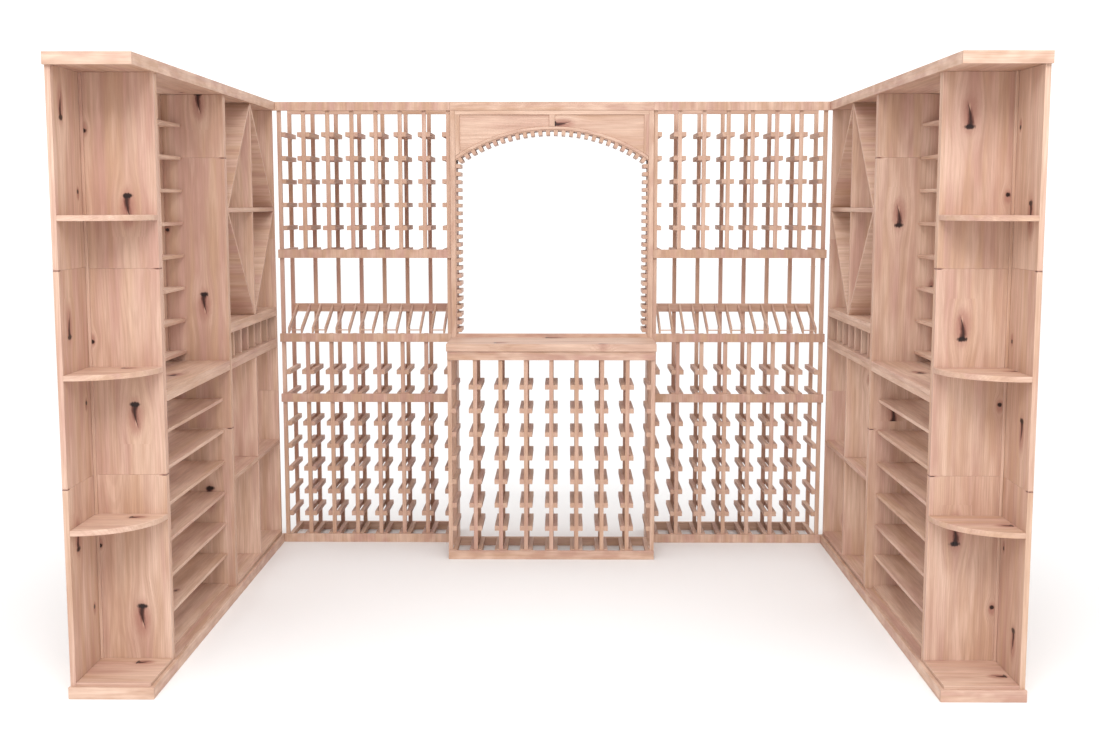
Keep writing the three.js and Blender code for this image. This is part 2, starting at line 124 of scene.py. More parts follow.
# ---------------------------------------------------------------- boards
# A knot lies at `along` and `across` the grain; its tail points towards the sign of `half_length`.
Knot = namedtuple("Knot", "along across half_length half_width strength")
NO_KNOT = (9.0, 9.0, 0.0)
TAILED = 1.0  # strength of a knot with a tail
FAINT = 0.9  # a small one with a weaker tail
ROUND = 0.7  # one that has no tail
KNOT_BAY = 0.45  # length of board that may hold one random knot
KNOT_ALONG, KNOT_ACROSS = (0.2, 0.8), (0.15, 0.85)  # where it may lie, in parts of the bay
KNOT_SIZE = (0.006, 0.013)  # half width of a random knot
KNOT_STRETCH = 2.1  # its half length over its half width
PITH_OFF = (20.0, 0.05)  # how far a board may lie from the start and the middle of its tree
PITH_DEPTH = (0.03, 0.12)  # and how deep under its face the pith is
TONE_SPREAD = 0.13
END_FACE = 0.8  # a face whose normal has more than this along the grain is end grain
SOFT_CORNER = math.cos(math.radians(40))
HALF_ROUND = 1 - math.sqrt(0.5)
JUST_PAST = 2e-6  # puts a quad that starts on a cut in the band after it


@lru_cache(maxsize=None)
def shell(counts):
    """Surface of a grid of counts stations per axis.

    Gives the stations of each vertex, then the vertices, the axis and the cell of each outward quad.
    """
    number, stations, quads, axes, cells = {}, [], [], [], []

    def vertex(key):
        if key not in number:
            number[key] = len(stations)
            stations.append(key)
        return number[key]

    for a in range(3):
        b, c = (a + 1) % 3, (a + 2) % 3
        for side in (0, counts[a] - 1):
            for i in range(counts[b] - 1):
                for j in range(counts[c] - 1):
                    corners = [(i, j), (i + 1, j), (i + 1, j + 1), (i, j + 1)]
                    if side == 0:
                        corners.reverse()
                    quad = []
                    for p, q in corners:
                        key = [0, 0, 0]
                        key[a], key[b], key[c] = side, p, q
                        quad.append(vertex(tuple(key)))
                    quads.append(quad)
                    axes.append(a)
                    cell = [0, 0, 0]
                    cell[a], cell[b], cell[c] = min(side, counts[a] - 2), i, j
                    cells.append(cell)
    return np.array(stations), np.array(quads), np.array(axes), np.array(cells)


def inside(values, low, high):
    return sorted(v for v in values if low < v < high)


class Joinery:
    """The boards of one piece, gathered into one mesh with the attributes that the pine shader reads.

    A mirrored piece is drawn in the left side's coordinates and turned over when it is stored.
    """

    def __init__(self, name, finish, node=None, mirror=False, tone=0.5):
        self.name, self.finish, self.node, self.mirror, self.tone = name, finish, node, mirror, tone
        self.rng = np.random.default_rng(zlib.crc32(name.encode()))
        self.parts = {key: [] for key in ("co", "grain", "loops", "sizes", "normals", "knot", "wear_and_painted_shade")}
        self.count = 0
        if node:
            self.low, self.high = (np.array(corner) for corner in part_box(node))
            if mirror:
                self.low[X], self.high[X] = -self.high[X], -self.low[X]

    def span(self, axis):
        return self.low[axis], self.high[axis]

    def random_knots(self, along, across, chance):
        """Now and then a small knot somewhere on a board."""
        knots = []
        length, width = along[1] - along[0], across[1] - across[0]
        for i in range(round(length / KNOT_BAY)):
            if self.rng.random() < chance:
                at = along[0] + (i + self.rng.uniform(*KNOT_ALONG)) * KNOT_BAY
                over = across[0] + width * self.rng.uniform(*KNOT_ACROSS)
                size = self.rng.uniform(*KNOT_SIZE)
                stretch = self.rng.choice([-KNOT_STRETCH, KNOT_STRETCH])
                knots.append(Knot(at, over, size * stretch, size, FAINT))
        return knots

    def board(self, x, y, z, grain, knots=(), tone=0.0, ease=EASE, turn=None):
        """A straight board or stick with rounded edges. grain is the axis that its fibres follow."""
        spans = np.array([x, y, z], float)
        size = spans[:, 1] - spans[:, 0]
        thick, wide = sorted((a for a in range(3) if a != grain), key=lambda a: size[a])
        knots = sorted(knots)
        cuts = [(a.along + b.along) / 2 for a, b in zip(knots, knots[1:])]
        cuts = inside(cuts, spans[grain][0] + 2 * ease, spans[grain][1] - 2 * ease)
        stations = []
        for axis, (low, high) in enumerate(spans):
            middle = cuts if axis == grain else []
            stations.append(np.array([low, low + ease, *middle, high - ease, high]))
        index, quads, axes, cells = shell(tuple(len(s) for s in stations))
        raw = np.stack([stations[a][index[:, a]] for a in range(3)], 1)
        core = np.clip(raw, spans[:, 0] + ease, spans[:, 1] - ease)
        normals = (raw - core) / np.linalg.norm(raw - core, axis=1, keepdims=True)
        co = core + ease * normals
        rims = (raw != core).sum(1) > 1
        band = np.searchsorted(np.array(cuts), stations[grain][cells[:, grain]] + JUST_PAST)
        self.store(
            co,
            quads.ravel(),
            np.full(len(quads), 4),
            normals[quads.ravel()],
            (grain, wide, thick),
            np.repeat(axes == grain, 4),
            rims[quads.ravel()],
            [knots[i] for i in np.repeat(band, 4)] if knots else None,
            tone,
            turn,
        )

    def plate(self, outline, span, axis, grain, knot=None, tone=0.0, ease=EASE):
        """A flat piece with eased rims: an outline of points in the plane across axis, span thick."""
        a, b = (axis + 1) % 3, (axis + 2) % 3
        points = np.array(outline, float)
        after = np.roll(points, -1, axis=0)
        if (points[:, 0] * after[:, 1] - points[:, 1] * after[:, 0]).sum() < 0:
            points = points[::-1]
            after = np.roll(points, -1, axis=0)
        edge = after - points
        edge /= np.linalg.norm(edge, axis=1, keepdims=True)
        out = np.stack([edge[:, 1], -edge[:, 0]], 1)
        before = np.roll(out, 1, axis=0)
        cosine = (out * before).sum(1, keepdims=True)
        miter = (out + before) / (1 + cosine)
        smooth = miter / np.linalg.norm(miter, axis=1, keepdims=True)
        start = np.where(cosine > SOFT_CORNER, smooth, out)
        end = np.where(np.roll(cosine, -1, axis=0) > SOFT_CORNER, np.roll(smooth, -1, axis=0), out)

        low, high = span
        shallow = ease * HALF_ROUND
        rings = [
            (ease, low, -90),
            (shallow, low + shallow, -45),
            (0.0, low + ease, 0),
            (0.0, high - ease, 0),
            (shallow, high - shallow, 45),
            (ease, high, 90),
        ]
        n = len(points)
        co = np.zeros((len(rings) * n, 3))
        for r, (inset, height, _) in enumerate(rings):
            flat = points - inset * miter
            rows = slice(r * n, (r + 1) * n)
            co[rows, a], co[rows, b], co[rows, axis] = flat[:, 0], flat[:, 1], height

        def tilted(flat, degrees):
            normal = np.zeros((n, 3))
            lean = math.radians(degrees)
            normal[:, a], normal[:, b] = flat[:, 0] * math.cos(lean), flat[:, 1] * math.cos(lean)
            normal[:, axis] = math.sin(lean)
            return normal

        here = np.arange(n)
        there = (here + 1) % n
        loops, normals, rims = [], [], []
        for r in range(len(rings) - 1):
            lower, upper = r * n, (r + 1) * n
            lean, next_lean = rings[r][2], rings[r + 1][2]
            loops.append(np.stack([lower + here, lower + there, upper + there, upper + here], 1).ravel())
            corners = [(start, lean), (end, lean), (end, next_lean), (start, next_lean)]
            normals.append(np.stack([tilted(*corner) for corner in corners], 1).reshape(-1, 3))
            rims.append(np.tile([abs(tilt) == 45 for _, tilt in corners], n))
        sizes = [4] * (n * (len(rings) - 1)) + [n, n]
        top = (len(rings) - 1) * n
        loops += [here[::-1], top + here]
        normals += [tilted(out, -90), tilted(out, 90)]
        rims.append(np.zeros(2 * n, bool))
        loops, normals = np.concatenate(loops), np.concatenate(normals)
        size = co.max(0) - co.min(0)
        thick, wide = sorted((i for i in range(3) if i != grain), key=lambda i: size[i])
        ends = np.abs(normals[:, grain]) > END_FACE
        knots = [knot] * len(loops) if knot else None
        marks = (grain, wide, thick)
        self.store(co, loops, np.array(sizes), normals, marks, ends, np.concatenate(rims), knots, tone)

    def store(self, co, loops, sizes, normals, marks, ends, rims, knots, tone, turn=None):
        """Adds one board's mesh, with where each point lies in the tree, the knot near it, and its worn
        rims, end grain and tone, which on the magnum floor boards holds painted shade.
        """
        grain, wide, thick = marks
        middle = (co.min(0) + co.max(0)) / 2
        side = self.rng.choice([-1, 1])
        pith = [self.rng.uniform(-off, off) for off in PITH_OFF]
        pith.append(side * self.rng.uniform(*PITH_DEPTH))
        tree = np.stack([co[:, axis] - middle[axis] + shift for axis, shift in zip(marks, pith)], 1)
        if knots:
            k = np.array(knots)
            at = co[loops]
            along = (at[:, grain] - k[:, 0]) / k[:, 2]
            across = (at[:, wide] - k[:, 1]) / k[:, 3]
            near = np.stack([along, across, k[:, 4]], 1)
        else:
            near = np.tile(NO_KNOT, (len(loops), 1))
        shade = np.clip(self.tone + tone + self.rng.normal(0, TONE_SPREAD), 0, 1)
        wear_and_painted_shade = np.stack([rims.astype(float), ends.astype(float), np.full(len(loops), shade)], 1)
        if turn is not None:
            matrix, pivot = turn
            co = (co - pivot) @ matrix.T + pivot
            normals = normals @ matrix.T
        if self.mirror:
            flip = np.array([-1, 1, 1])
            co, normals = co * flip, normals * flip
            starts = np.repeat(np.cumsum(sizes) - sizes, sizes)
            lengths = np.repeat(sizes, sizes)
            order = 2 * starts + lengths - 1 - np.arange(len(loops))
            loops, normals, near, wear_and_painted_shade = loops[order], normals[order], near[order], wear_and_painted_shade[order]
        made = (co, tree, loops + self.count, sizes, normals, near, wear_and_painted_shade)
        for key, value in zip(self.parts, made):
            self.parts[key].append(value)
        self.count += len(co)

    def build(self):
        """Makes the Blender object, gives it its finish and sets it in the frame."""
        data = {key: np.concatenate(value) for key, value in self.parts.items()}
        mesh = bpy.data.meshes.new(self.name)
        mesh.vertices.add(len(data["co"]))
        mesh.vertices.foreach_set("co", data["co"].astype(np.float32).ravel())
        mesh.loops.add(len(data["loops"]))
        mesh.loops.foreach_set("vertex_index", data["loops"].astype(np.int32))
        mesh.polygons.add(len(data["sizes"]))
        mesh.polygons.foreach_set("loop_start", (np.cumsum(data["sizes"]) - data["sizes"]).astype(np.int32))
        mesh.update(calc_edges=True)
        mesh.polygons.foreach_set("use_smooth", np.ones(len(data["sizes"]), bool))
        mesh.normals_split_custom_set(data["normals"].tolist())
        for key, domain in (("grain", "POINT"), ("knot", "CORNER"), ("wear_and_painted_shade", "CORNER")):
            attribute = mesh.attributes.new(key, "FLOAT_VECTOR", domain)
            attribute.data.foreach_set("vector", data[key].astype(np.float32).ravel())
        mesh.materials.append(FINISHES[self.finish])
        piece = bpy.data.objects.new(self.name, mesh)
        bpy.context.scene.collection.objects.link(piece)
        if self.node:
            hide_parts(self.node)
        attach(piece, "root")


# ---------------------------------------------------------------- pine
class Graph:
    """Short calls that add shader nodes to a material and join them."""

    def __init__(self, name):
        self.material = bpy.data.materials.new(name)
        self.material.use_nodes = True
        self.tree = self.material.node_tree
        self.tree.nodes.clear()

    def node(self, kind, inputs=None, output=0, **settings):
        made = self.tree.nodes.new("ShaderNode" + kind)
        for key, value in settings.items():
            setattr(made, key, value)
        for key, value in (inputs or {}).items():
            if isinstance(value, bpy.types.NodeSocket):
                self.tree.links.new(value, made.inputs[key])
            else:
                made.inputs[key].default_value = value
        return made.outputs[output] if made.outputs else None

    def attribute(self, name):
        vector = self.node("Attribute", output="Vector", attribute_name=name)
        split = self.tree.nodes.new("ShaderNodeSeparateXYZ")
        self.tree.links.new(vector, split.inputs[0])
        return split.outputs

    def math(self, operation, *values):
        return self.node("Math", dict(enumerate(values)), operation=operation)

    def times(self, a, b):
        return self.math("MULTIPLY", a, b)

    def plus(self, a, b):
        return self.math("ADD", a, b)

    def line(self, value, slope, offset):
        return self.math("MULTIPLY_ADD", value, slope, offset)

    def noise(self, x, y, z, scales, detail=2.0, roughness=0.5):
        """Noise stretched along the grain: scales are features per metre along, across and through."""
        place = self.node("CombineXYZ", {0: x, 1: y, 2: z})
        point = self.node("VectorMath", {0: place, 1: scales}, operation="MULTIPLY")
        inputs = {"Vector": point, "Scale": 1.0, "Detail": detail, "Roughness": roughness}
        return self.node("TexNoise", inputs)

    def ease(self, value, low, high, start=0.0, end=1.0):
        """A smooth step from start at low to end at high."""
        inputs = {0: value, 1: low, 2: high, 3: start, 4: end}
        return self.node("MapRange", inputs, interpolation_type="SMOOTHSTEP")

    def fade(self, value, low, high):
        return self.ease(value, low, high, 1.0, 0.0)

    def oval(self, u, v, centre, half_u, half_v):
        """Distance from centre on the u axis, 1 on an oval of those half sizes."""
        du = self.math("DIVIDE", self.math("SUBTRACT", u, centre), half_u)
        dv = self.math("DIVIDE", v, half_v)
        return self.math("SQRT", self.plus(self.times(du, du), self.times(dv, dv)))

    def mix(self, factor, a, b):
        return self.node("Mix", {0: factor, 6: a, 7: b}, output=2, data_type="RGBA")


def colour(red, green, blue):
    return (red, green, blue, 1.0)


PALE = colour(0.70, 0.497, 0.387)
HONEY = colour(0.535, 0.338, 0.230)
ROSE = colour(0.52, 0.310, 0.250)
LATEWOOD = colour(0.36, 0.205, 0.140)
HALO = colour(0.37, 0.180, 0.138)
FLAME = colour(0.200, 0.080, 0.060)
KNOT_RED = colour(0.130, 0.045, 0.034)
KNOT_DARK = colour(0.018, 0.008, 0.007)
FLECK = colour(0.62, 0.40, 0.30)
END_GRAIN = colour(0.50, 0.325, 0.235)
RING_PITCH = 0.0062
KNOT_HEAD = 0.62  # from the middle of a knot to its dark head, in half lengths
KNOT_SWELL = 0.012  # how far the fibres beside a knot are pushed aside

KnotMasks = namedtuple("KnotMasks", "head tail_edge tail_core halo flame spot push")


def knot_masks(g, x, y, z):
    """Where a knot's parts are: a dark cap, a tail that bends and narrows, and the stains round them.

    u runs along the knot and v across it, both 1 at its half sizes.
    """
    u, v, strength = g.attribute("knot")
    present = g.ease(strength, 0.0, 0.5)
    tailed = g.ease(strength, 0.75, 0.95)
    ragged = g.line(g.noise(x, y, z, (70.0, 190.0, 190.0), detail=3.0), 0.9, -0.45)

    cap = g.plus(g.oval(u, v, -KNOT_HEAD, 0.17, 1.02), ragged)
    head = g.times(g.fade(cap, 0.60, 1.20), present)

    rear = g.math("MAXIMUM", g.plus(u, 0.7), 0.0)
    bent = g.line(g.times(rear, rear), -0.30, v)
    bent = g.plus(g.ease(u, -0.7, -0.2, 0.0, 0.24), bent)
    tail = g.math("DIVIDE", g.math("ABSOLUTE", bent), g.ease(u, -0.7, 0.8, 0.74, 0.05))
    tail = g.plus(tail, g.times(ragged, 0.8))
    reach = g.times(g.ease(u, -0.70, -0.60), g.fade(u, 0.55, 1.0))
    reach = g.times(reach, tailed)
    tail_edge = g.times(g.fade(tail, 0.55, 1.25), reach)
    tail_core = g.times(g.fade(tail, 0.15, 0.80), reach)

    # The halo is round the head of a round knot, and round all of one with a tail.
    centre = g.ease(tailed, 0.0, 1.0, -0.50, 0.15)
    half_length = g.ease(tailed, 0.0, 1.0, 0.42, 1.05)
    body = g.line(ragged, 0.5, g.oval(u, v, centre, half_length, 1.30))
    halo = g.times(g.fade(body, 0.55, 1.55), present)
    inner = g.line(ragged, 0.8, g.oval(u, bent, 0.05, 0.80, 0.66))
    flame = g.times(g.fade(inner, 0.45, 1.20), tailed)
    fleck = g.plus(g.oval(u, g.math("SUBTRACT", v, 0.10), 0.50, 0.36, 0.26), ragged)
    spot = g.times(g.fade(fleck, 0.40, 1.10), tailed)
    flow = g.times(g.fade(body, 0.2, 3.2), present)
    push = g.times(g.times(v, KNOT_SWELL), flow)
    return KnotMasks(head, tail_edge, tail_core, halo, flame, spot, push)


def late_rings(g, x, y, z):
    """Growth rings round a pith that wanders along the board: 1 in the late wood."""
    wander = g.noise(x, 0.0, 0.0, (1.1, 1.0, 1.0), detail=1.0)
    warp = g.noise(x, y, z, (2.2, 14.0, 14.0))
    depth = g.line(wander, 0.075, z)
    radius = g.math("SQRT", g.plus(g.times(y, y), g.times(depth, depth)))
    radius = g.line(warp, 0.014, radius)
    wave = g.math("SINE", g.times(radius, 2 * math.pi / RING_PITCH))
    return g.ease(wave, 0.0, 1.0)


def pine(name, rings, streaks, mottle, clouds, warmth, rough):
    """Sanded knotty pine.

    rings, streaks and mottle are the contrast of each figure, clouds is the number of the mottle's
    marks per metre of board, and warmth turns the pale wood to honey and rose.
    """
    g = Graph(name)
    x, y, z = g.attribute("grain")
    # Worn rims, end grain and each board's tone; on the magnum floor boards the tone is lowered as painted
    # shade.
    rim, end, tone = g.attribute("wear_and_painted_shade")
    knot = knot_masks(g, x, y, z)
    y = g.math("SUBTRACT", y, knot.push)

    late = late_rings(g, x, y, z)
    streak = g.noise(x, y, z, (3.0, 78.0, 78.0), detail=4.0, roughness=0.60)
    fibre = g.noise(x, y, z, (16.0, 620.0, 620.0), roughness=0.6)
    cloud = g.ease(g.noise(x, y, z, (clouds, 22.0, 22.0), detail=2.0), 0.28, 0.72)
    hue = g.ease(g.noise(x, y, z, (1.3, 24.0, 24.0)), 0.36, 0.64)

    shade = g.plus(g.plus(tone, g.line(cloud, 2.0 * mottle, -mottle)), -warmth)
    shade = g.math("MINIMUM", g.math("MAXIMUM", shade, 0.0), 1.0)
    wood = g.mix(shade, g.mix(hue, HONEY, ROSE), PALE)
    layers = (
        (g.ease(streak, 0.38, 0.66), streaks, LATEWOOD),
        (late, rings, LATEWOOD),
        (g.ease(fibre, 0.42, 0.80), 0.34, LATEWOOD),
        (end, 0.40, END_GRAIN),
        (rim, 0.25, PALE),
        (knot.halo, 0.80, HALO),
        (knot.flame, 0.75, FLAME),
        (knot.spot, 0.60, FLECK),
        (knot.tail_edge, 0.80, KNOT_RED),
        (knot.tail_core, 0.78, KNOT_DARK),
        (knot.head, 0.97, KNOT_DARK),
    )
    for mask, amount, tint in layers:
        wood = g.mix(g.times(mask, amount), wood, tint)

    roughness = g.line(late, -0.10, g.ease(fibre, 0.2, 0.8, rough, rough + 0.14))
    roughness = g.line(knot.head, -0.18, roughness)
    height = g.plus(g.times(fibre, 0.6), g.times(late, 0.35))
    height = g.line(knot.head, -0.8, height)
    bump = g.node("Bump", {"Strength": 0.35, "Distance": 0.0005, "Height": height})
    shader = g.node(
        "BsdfPrincipled",
        {"Base Color": wood, "Roughness": roughness, "Specular IOR Level": 0.28, "Normal": bump},
    )
    g.node("OutputMaterial", {"Surface": shader})
    return g.material


FINISHES = {
    "panel_pine": pine("panel_pine_wood", 0.17, 0.36, 0.42, clouds=3.6, warmth=0.12, rough=0.52),
    "trim_pine": pine("trim_pine_wood", 0.14, 0.34, 0.50, clouds=10.0, warmth=0.14, rough=0.50),
    "ladder_pine": pine("ladder_pine_wood", 0.15, 0.32, 0.36, clouds=5.0, warmth=0.14, rough=0.56),
    "shelf_pine": pine("shelf_pine_wood", 0.16, 0.34, 0.40, clouds=4.0, warmth=0.06, rough=0.52),
}


# ---------------------------------------------------------------- wings
# Sizes of knots: half length, half width.
BIG_KNOT = (0.052, 0.0175)
SMALL_KNOT = (0.046, 0.0080)
SEAM_KNOT = (0.007, 0.010)
CORNER_KNOT = (0.028, 0.016)
COUNTER_KNOT = (0.042, 0.020)
UP, DOWN = 1, -1
SEAM_KNOT_IN = 0.007  # from the front edge of a panel
SEAM_KNOT_UP = 0.003  # over the seam
KNOTS_IN_COLUMN = 3
RUN_OVER = 0.03  # a knot this near a seam runs on past it

# Panels are made up of lengths end to end, and a panel's knots come again at this distance.
KNOT_PITCH = {"wall_panel": 0.668, "front_partition": 0.668, "middle_partition": 0.757}
# Knots by side and panel, in the left side's coordinates: size, tail, across, height of the lowest.
# Across a wall panel is from the front of the wings.
PANEL_KNOTS = {
    "left_wall_panel": [(BIG_KNOT, UP, 0.087, 0.490), (SMALL_KNOT, DOWN, 0.211, 0.236)],
    "left_front_partition": [(BIG_KNOT, DOWN, -1.329, 0.192), (SMALL_KNOT, UP, -1.460, 0.427)],
    "left_middle_partition": [(BIG_KNOT, DOWN, -1.327, 0.401), (SMALL_KNOT, UP, -1.460, 0.679)],
    "right_wall_panel": [(BIG_KNOT, DOWN, 0.095, 0.168), (SMALL_KNOT, UP, 0.221, 0.434)],
    "right_front_partition": [(BIG_KNOT, UP, -1.323, 0.470), (SMALL_KNOT, DOWN, -1.451, 0.227)],
    "right_middle_partition": [(BIG_KNOT, UP, -1.325, 0.729), (SMALL_KNOT, UP, -1.455, 0.460)],
}
PANEL_SEAMS = {
    "wall_panel": (0.662, 1.334),
    "front_partition": (0.662, 1.330),
    "middle_partition": (0.670, 1.708),
    "inner_end_panel": (0.700, 1.380),
}


def knot_column(across, first, size, tail, pitch):
    """The same knot up a panel, once in each length of board."""
    half_length, half_width = size
    strength = TAILED
    if size == SMALL_KNOT:
        strength = ROUND
        first += tail * KNOT_HEAD * half_length
    heights = [first + i * pitch for i in range(KNOTS_IN_COLUMN)]
    return [Knot(z, across, tail * half_length, half_width, strength) for z in heights]


def wing_piece(side, part, finish, tone=0.5):
    node = f"{side}_{part}"
    return Joinery(node + "_wood", finish, node=node, mirror=side == "right", tone=tone)


def panel_boards(piece, part, knots, x, y):
    """An upright panel in lengths end to end."""
    low, high = piece.span(Z)
    levels = [low, *PANEL_SEAMS[part], high]
    for z0, z1 in zip(levels, levels[1:]):
        here = [k for k in knots if z0 - RUN_OVER < k.along < z1 + RUN_OVER]
        piece.board(x, y, (z0, z1), Z, knots=here)


def upright_panels(side):
    for part in ("wall_panel", "front_partition", "middle_partition", "inner_end_panel"):
        piece = wing_piece(side, part, "panel_pine")
        knots = []
        for size, tail, across, first in PANEL_KNOTS.get(f"{side}_{part}", []):
            shift = FRONT_Y if part == "wall_panel" else 0.0
            knots += knot_column(across + shift, first, size, tail, KNOT_PITCH[part])
        if part != "inner_end_panel":
            on_wall = part == "wall_panel"
            edge = piece.low[Y] + SEAM_KNOT_IN if on_wall else piece.high[X] - SEAM_KNOT_IN
            knots += [Knot(z + SEAM_KNOT_UP, edge, *SEAM_KNOT, ROUND) for z in PANEL_SEAMS[part]]
        x, y = piece.span(X), piece.span(Y)
        if "partition" in part:
            middle = sum(y) / 2
            panel_boards(piece, part, knots, x, (y[0], middle))
            panel_boards(piece, part, knots, x, (middle, y[1]))
        else:
            if not knots:
                knots = piece.random_knots(piece.span(Z), x, chance=0.7)
            panel_boards(piece, part, knots, x, y)
        piece.build()


# Knots of the corner floor and shelves, from the front of the wings: (x, y) by side.
CORNER_KNOTS = {
    "left": [(-1.319, 0.215), (-1.322, 0.209), (-1.333, 0.217), (-1.400, 0.120)],
    "right": [(-1.435, 0.104), (-1.441, 0.115), (-1.460, 0.155), (-1.330, 0.190)],
}


def corner_shelves(side):
    """Floor, three quarter-round shelves and the cleat in the inner corner between them."""
    piece = wing_piece(side, "corner_shelves", "shelf_pine", tone=0.55)
    x, y, z = piece.span(X), piece.span(Y), piece.span(Z)
    knots = [Knot(kx, FRONT_Y + ky, *CORNER_KNOT, TAILED) for kx, ky in CORNER_KNOTS[side]]
    piece.board(x, y, (z[0], CORNER_FLOOR_TOP), X, knots=knots[:1])
    shelves = [(top - BOARD, top) for top in CORNER_SHELF_TOPS]
    levels = [(z[0], CORNER_FLOOR_TOP), *shelves, (z[1], z[1])]
    for (_, below), (above, _) in zip(levels, levels[1:]):
        piece.board((x[0], x[0] + CLEAT), (y[1] - CLEAT, y[1]), (below, above), Z, ease=STICK_EASE)
    turns = [i / QUARTER_STEPS * math.pi / 2 for i in range(QUARTER_STEPS + 1)]
    arc = [(x[0] + (x[1] - x[0]) * math.sin(t), y[1] - (y[1] - y[0]) * math.cos(t)) for t in turns]
    for top, knot in zip(CORNER_SHELF_TOPS, knots[1:]):
        piece.plate([(x[0], y[1]), *arc], (top - BOARD, top), Z, X, knot=knot)
    piece.build()


def railed_board(piece, x, y, top, knots=()):
    """A board across a wing unit with a deeper rail under its front edge."""
    piece.board(x, y, (top - BOARD, top), Y, knots=knots)
    piece.board((x[1] - BOARD, x[1]), y, (top - FASCIA, top - BOARD), Y, tone=0.1)


# The knot of each counter: x, and y from the front of the wings.
COUNTER_KNOTS = {"left": (-1.322, 0.697), "right": (-1.326, 0.789)}
# Part, number of shelves, top of the lowest, depth.
MAGNUM_RACKS = (
    ("magnum_upper_shelves", 8, 0.975, 0.0695),
    ("magnum_lower_shelves", 7, 0.051, 0.2025),
)


def magnum_rack(side):
    """Counter, shelves on three posts above and below it, and the floor board under the lowest."""
    piece = wing_piece(side, "magnum_counter", "shelf_pine", tone=0.6)
    x, y = COUNTER_KNOTS[side]
    knot = Knot(FRONT_Y + y, x, *COUNTER_KNOT, TAILED)
    railed_board(piece, piece.span(X), piece.span(Y), piece.high[Z], knots=[knot])
    piece.build()
    panel_edge = piece.high[X]
    for part, rows, first_top, depth in MAGNUM_RACKS:
        piece = wing_piece(side, part, "shelf_pine", tone=0.55)
        x, y = piece.span(X), piece.span(Y)
        front = x[0] + BOARD
        last = y[1] - MAGNUM_POST
        for start in (y[0], (y[0] + last) / 2, last):
            piece.board((x[0], front), (start, start + MAGNUM_POST), piece.span(Z), Z)
        for i in range(rows):
            top = first_top + i * MAGNUM_PITCH
            knots = piece.random_knots(y, (front, front + depth), chance=0.15)
            piece.board((front, front + depth), y, (top - SLIM, top), Y, knots=knots)
        if part == "magnum_lower_shelves":
            top = first_top - SLIM
            # Painted shade: the floor board under the lowest shelf is made darker, for the shadow that
            # falls under it.
            piece.board((front, panel_edge), y, (top - BOARD, top), Y, tone=-0.35)
        piece.build()


def clipped(outline, axis, limit, sign):
    """The part of an outline on one side of a line: sign * point[axis] <= sign * limit."""
    kept = []
    for p, q in zip(outline, outline[1:] + outline[:1]):
        dp, dq = (sign * (limit - point[axis]) for point in (p, q))
        if dp >= 0:
            kept.append(p)
        if dp * dq < 0:
            t = dp / (dp - dq)
            kept.append((p[0] + t * (q[0] - p[0]), p[1] + t * (q[1] - p[1])))
    return kept


def diamond_lattice(side):
    """Upright divider, level shelf and four diagonals, cut to fit between them and the panels."""
    piece = wing_piece(side, "diamond_lattice", "shelf_pine")
    x, y, z = piece.span(X), piece.span(Y), piece.span(Z)
    y_mid, z_mid = sum(y) / 2, sum(z) / 2
    half = BOARD / 2
    piece.board(x, y, (z_mid - half, z_mid + half), Y)
    piece.board(x, (y_mid - half, y_mid + half), (z[0], z_mid - half), Z)
    piece.board(x, (y_mid - half, y_mid + half), (z_mid + half, z[1]), Z)
    for wall, inner in ((y[0], y_mid - half), (y[1], y_mid + half)):
        for end, shelf in ((z[0], z_mid - half), (z[1], z_mid + half)):
            run, rise = y_mid - wall, end - z_mid
            length = math.hypot(run, rise)
            aside = (-rise / length * SLIM / 2, run / length * SLIM / 2)
            ends = [(wall - run, z_mid - rise), (wall + 2 * run, z_mid + 2 * rise)]
            corners = zip(ends + ends[::-1], (1, 1, -1, -1))
            strip = [(p[0] + s * aside[0], p[1] + s * aside[1]) for p, s in corners]
            for axis, limits in ((0, sorted((wall, inner))), (1, sorted((end, shelf)))):
                strip = clipped(strip, axis, limits[0], -1)
                strip = clipped(strip, axis, limits[1], 1)
            piece.plate(strip, x, X, X)
    piece.build()


def display_row(side):
    """Cover board, bottom board and the partitions of the pigeonholes between them."""
    piece = wing_piece(side, "display_row", "shelf_pine", tone=0.55)
    x, y, z = piece.span(X), piece.span(Y), piece.span(Z)
    floor = z[0] + FASCIA
    railed_board(piece, x, y, z[1], knots=piece.random_knots(y, x, chance=0.5))
    railed_board(piece, x, y, floor)
    cell = (y[1] - y[0] - (DISPLAY_HOLES - 1) * BOARD) / DISPLAY_HOLES
    for i in range(1, DISPLAY_HOLES):
        start = y[0] + i * cell + (i - 1) * BOARD
        piece.board((x[0], x[1] - BOARD), (start, start + BOARD), (floor, z[1] - BOARD), Z)
    piece.build()


def case_bins(side):
    """Floor, shelf and the divider between the four bins."""
    piece = wing_piece(side, "case_bins", "panel_pine", tone=0.55)
    x, y, z = piece.span(X), piece.span(Y), piece.span(Z)
    floor_top, shelf_top = z[0] + BOARD, CASE_SHELF_TOP
    for top in (floor_top, shelf_top):
        piece.board(x, y, (top - BOARD, top), Y, knots=piece.random_knots(y, x, chance=0.7))
    middle = (sum(y) / 2 - BOARD / 2, sum(y) / 2 + BOARD / 2)
    for z0, z1 in ((floor_top, shelf_top - BOARD), (shelf_top, z[1])):
        knots = piece.random_knots((z0, z1), x, chance=0.8)
        piece.board(x, middle, (z0, z1), Z, knots=knots)
    piece.build()


